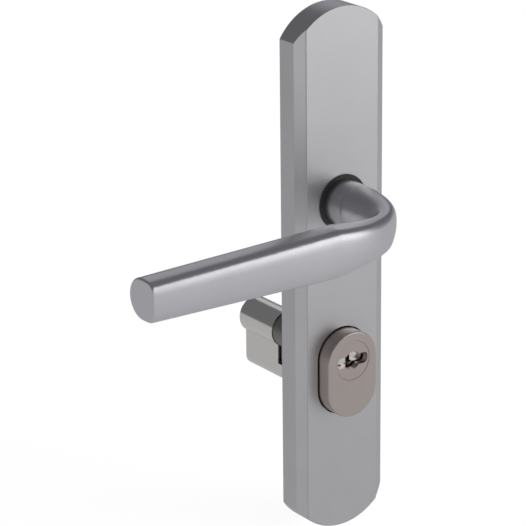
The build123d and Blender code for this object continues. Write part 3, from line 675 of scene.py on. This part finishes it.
@dataclass
class LongPlate(Assembly):
    """The cover plate with what is behind it: armour plate, gasket, posts and screws."""

    thread_turns: int = 14
    thread_pitch: float = 1.0 * MM
    thread_radius: float = 2.5 * MM
    thread_ridge: float = 0.35 * MM
    thread_sides: int = 4

    def build(self) -> None:
        """Makes and dresses every piece of the plate."""
        self.dress("cover_plate", Finishes.PLATE)
        self.dress("armour_plate", Finishes.BLUED)
        self.dress("backing_gasket", Finishes.FOAM)
        self.dress("fixing_posts", Finishes.ZINC)
        self._screws()
        self._post_threads()

    def _screws(self) -> None:
        """Makes the screws that hold the cover to the armour plate."""
        spots = self.solids("cover_screws")
        length = spots[0].high.y - spots[0].low.y
        size = ScrewSize()
        piece = self.recipes.screw().make(
            "cover_machine_screws",
            [Vector((s.middle.x, s.high.y, s.middle.z)) for s in spots],
            size.inputs(length, self.finishes.material(Finishes.ZINC), OUT_OF_DOOR),
        )
        self.hand_over(piece, "plate", Finishes.ZINC, "cover_screws")

    def _post_threads(self) -> None:
        """Makes the thread ridges in the ends of the posts."""
        posts = self.solids("fixing_posts")
        piece = self.recipes.coil().make(
            "post_threads",
            [Vector((s.middle.x, s.high.y - self.thread_pitch / 2, s.middle.z)) for s in posts],
            {
                "Steps": COIL_STEPS,
                "Turns": float(self.thread_turns),
                "Radius": self.thread_radius,
                "End Radius": self.thread_radius,
                "Height": self.thread_turns * self.thread_pitch,
                "Sides": self.thread_sides,
                "Wire": self.thread_ridge,
                "Turn": OUT_OF_DOOR,
                "Finish": self.finishes.material(Finishes.ZINC),
            },
        )
        self.hand_over(piece, "plate", Finishes.ZINC)


@dataclass
class LeverSet(Assembly):
    """The lever with its bearing, return spring, driver, clip and spindle."""

    rivet_radius: float = 1.0 * MM
    rivet_head_radius: float = 1.5 * MM
    rivet_head_height: float = 0.6 * MM

    def build(self) -> None:
        """Makes and dresses every piece of the lever set."""
        self.dress("lever_handle", Finishes.LEVER)
        self.dress("lever_bush", Finishes.PLASTIC)
        for node in ("spring_carrier", "lever_driver", "thrust_washer", "spindle"):
            self.dress(node, Finishes.ZINC)
        self.dress("lever_clip", Finishes.SPRING)
        self.dress("return_spring", Finishes.SPRING)
        self.dress("spindle_grub_screw", Finishes.BLUED)
        self._rivets()

    def _rivets(self) -> None:
        """Makes the rivets that hold the spring carrier."""
        spots = self.solids("carrier_rivets")
        piece = self.recipes.rivet().make(
            "carrier_dome_rivets",
            [Vector((s.middle.x, s.high.y, s.middle.z)) for s in spots],
            {
                "Radius": self.rivet_radius,
                "Length": spots[0].high.y - spots[0].low.y - self.rivet_head_height,
                "Head Radius": self.rivet_head_radius,
                "Head Height": self.rivet_head_height,
                "Turn": OUT_OF_DOOR,
                "Finish": self.finishes.material(Finishes.ZINC),
            },
        )
        self.hand_over(piece, "plate", Finishes.ZINC, "carrier_rivets")


@dataclass
class CylinderGuard(Assembly):
    """The guard round the cylinder with its turning disc."""

    def build(self) -> None:
        """Makes and dresses every piece of the guard."""
        self.dress("guard_housing", Finishes.NICKEL)
        self.dress("guard_disc", Finishes.DISC)
        self.dress("guard_liner", Finishes.BLUED)
        self.dress("disc_spring_washer", Finishes.SPRING)
        spots = self.solids("guard_screws")
        piece = self.recipes.screw().make(
            "guard_machine_screws",
            [Vector((s.middle.x, s.high.y, s.middle.z)) for s in spots],
            ScrewSize().inputs(
                spots[0].high.y - spots[0].low.y, self.finishes.material(Finishes.ZINC), OUT_OF_DOOR
            ),
        )
        self.hand_over(piece, "plate", Finishes.ZINC, "guard_screws")


@dataclass
class EuroCylinder(Assembly):
    """The double profile cylinder: body, plugs, cam, clutch and pin stacks."""

    wire: float = 0.15 * MM
    wire_sides: int = 8
    coil_radius: float = 0.95 * MM
    coil_pitch: float = 1.1 * MM

    def build(self) -> None:
        """Makes and dresses every piece of the cylinder."""
        self.dress("cylinder_body", Finishes.CYLINDER)
        for side in ("outer", "inner"):
            self.dress(f"{side}_plug", Finishes.PLUG)
            self.dress(f"{side}_plug_clip", Finishes.SPRING)
            self.dress(f"{side}_key_pins", Finishes.BRASS)
            self.dress(f"{side}_driver_pins", Finishes.BRASS)
            self._pin_springs(side)
        self.dress("cam", Finishes.SINTERED)
        self.dress("clutch", Finishes.SINTERED)
        self.dress("chamber_caps", Finishes.BRASS)
        self.dress("drill_pins", Finishes.BLUED)

    def _pin_springs(self, side: str) -> None:
        """Makes one row of pin springs.

        Args:
            side: outer or inner.
        """
        node = f"{side}_pin_springs"
        spots = self.solids(node)
        height = spots[0].high.z - spots[0].low.z - 2 * self.wire
        piece = self.recipes.coil().make(
            f"{side}_coil_springs",
            [Vector((s.middle.x, s.middle.y, s.low.z + self.wire)) for s in spots],
            {
                "Steps": COIL_STEPS,
                "Turns": height / self.coil_pitch,
                "Radius": self.coil_radius,
                "End Radius": self.coil_radius,
                "Height": height,
                "Sides": self.wire_sides,
                "Wire": self.wire,
                "Turn": (0.0, 0.0, 0.0),
                "Finish": self.finishes.material(Finishes.SPRING),
            },
        )
        self.hand_over(piece, "plate", Finishes.SPRING, node)


@dataclass(frozen=True)
class Softbox:
    """A rectangular studio light."""

    name: str
    place: Colour
    size: tuple[float, float]
    brightness: float
    colour: Colour = (1.0, 1.0, 1.0)
    aim: Colour = (0.0, 0.0, -0.03)

    def build(self) -> None:
        """Hangs the light and points it at the fitting."""
        lamp = bpy.data.lights.new(self.name, "AREA")
        lamp.shape = "RECTANGLE"
        lamp.size, lamp.size_y = self.size
        lamp.energy = self.brightness * math.pi * self.size[0] * self.size[1]
        lamp.color = self.colour
        holder = bpy.data.objects.new(self.name, lamp)
        bpy.context.scene.collection.objects.link(holder)
        holder.location = self.place
        away = Vector(self.place) - Vector(self.aim)
        holder.rotation_euler = away.to_track_quat("Z", "Y").to_euler()
        holder.visible_camera = False


@dataclass
class Studio:
    """The floor, the room's light, the softboxes and the camera."""

    azimuth: float = 35.85
    pitch: float = 19.9
    roll: float = 0.63
    lens: float = 177.95
    target: Colour = (0.0, 0.0, -0.0316)
    offset: Colour = (0.027467, -0.00031, 1.15)
    floor_width: float = 6.0
    floor_tone: Colour = (0.72, 0.72, 0.72)
    floor_glow: float = 0.85
    floor_bounce: float = 0.34
    air_tone: Colour = (0.93, 0.94, 1.0)
    air_light: float = 0.17
    backdrop_light: float = 1.05
    floor_roughness: float = 0.9
    sensor_width: float = 36.0
    clip: tuple[float, float] = (0.01, 50.0)

    def build(self) -> None:
        """Sets up the whole studio."""
        self._floor()
        self._air()
        for light in self.lights():
            light.build()
        self._camera()

    def lights(self) -> Iterable[Softbox]:
        """Lists the studio lights."""
        return (
            Softbox("key_light", (0.85, -1.0, 0.22), (0.9, 0.9), 1.4),
            Softbox("front_light", (-0.40, -1.2, 0.0), (0.5, 0.5), 1.0, (1.0, 0.985, 0.93)),
            Softbox("back_light", (1.1, 1.3, 0.75), (0.9, 0.9), 0.40, (0.95, 0.93, 1.0)),
            Softbox("spark_light", (0.75, -0.95, 0.55), (0.07, 0.07), 4.0),
        )

    def _floor(self) -> None:
        """Lays the floor under the plate's lower end."""
        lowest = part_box("cover_plate")[0].z - FLOOR_GAP
        half = self.floor_width / 2
        mesh = bpy.data.meshes.new("studio_floor")
        turns = ((-half, -half), (half, -half), (half, half), (-half, half))
        corners = [(x, y, lowest) for x, y in turns]
        mesh.from_pydata(corners, [], [(0, 1, 2, 3)])
        material = bpy.data.materials.new("studio_floor")
        material.use_nodes = True
        board = Board(material.node_tree)
        seen = board.node("ShaderNodeLightPath").outputs["Is Camera Ray"]
        shader = board.node(
            "ShaderNodeBsdfPrincipled",
            {
                "Base Color": (*self.floor_tone, 1.0),
                "Roughness": self.floor_roughness,
                "Emission Color": (1.0, 1.0, 1.0, 1.0),
                "Emission Strength": board.spread(seen, self.floor_bounce, self.floor_glow),
            },
        )
        board.node("ShaderNodeOutputMaterial", {"Surface": shader.outputs[0]})
        mesh.materials.append(material)
        floor = bpy.data.objects.new("studio_floor", mesh)
        bpy.context.scene.collection.objects.link(floor)

    def _air(self) -> None:
        """Gives the room its even light, and a white backdrop behind the fitting."""
        world = bpy.data.worlds.new("studio_air")
        world.use_nodes = True
        bpy.context.scene.world = world
        board = Board(world.node_tree)
        seen = board.node("ShaderNodeLightPath").outputs["Is Camera Ray"]
        room = board.node(
            "ShaderNodeBackground", {"Color": (*self.air_tone, 1.0), "Strength": self.air_light}
        )
        backdrop = board.node(
            "ShaderNodeBackground", {"Color": (1.0, 1.0, 1.0, 1.0), "Strength": self.backdrop_light}
        )
        mixed = board.node("ShaderNodeMixShader", {0: seen, 1: room.outputs[0], 2: backdrop.outputs[0]})
        board.node("ShaderNodeOutputWorld", {"Surface": mixed.outputs[0]})

    def _camera(self) -> None:
        """Places the camera to the front left, a little above the lever."""
        turn, dip, lean = (math.radians(a) for a in (self.azimuth, self.pitch, self.roll))
        ahead = Vector((math.sin(turn) * math.cos(dip), math.cos(turn) * math.cos(dip), -math.sin(dip)))
        level = Vector((math.cos(turn), -math.sin(turn), 0.0))
        below = ahead.cross(level)
        right = level * math.cos(lean) + below * math.sin(lean)
        down = below * math.cos(lean) - level * math.sin(lean)
        sideways, lower, away = self.offset
        place = Vector(self.target) - right * sideways - down * lower - ahead * away
        lens = bpy.data.cameras.new("camera")
        lens.lens = self.lens
        lens.sensor_width = self.sensor_width
        lens.clip_start, lens.clip_end = self.clip
        camera = bpy.data.objects.new("camera", lens)
        bpy.context.scene.collection.objects.link(camera)
        axes = Matrix((right, -down, -ahead)).transposed()
        camera.matrix_world = Matrix.Translation(place) @ axes.to_4x4()
        bpy.context.scene.camera = camera
        bpy.context.scene.view_settings.view_transform = "Standard"


def main() -> None:
    """Builds the fitting and the studio round it."""
    logging.basicConfig(level=logging.INFO, format="%(message)s")
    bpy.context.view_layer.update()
    finishes = Finishes()
    for assembly in (LongPlate, LeverSet, CylinderGuard, EuroCylinder):
        assembly(finishes, Recipes).build()
    Studio().build()


if __name__ == "__main__":
    main()
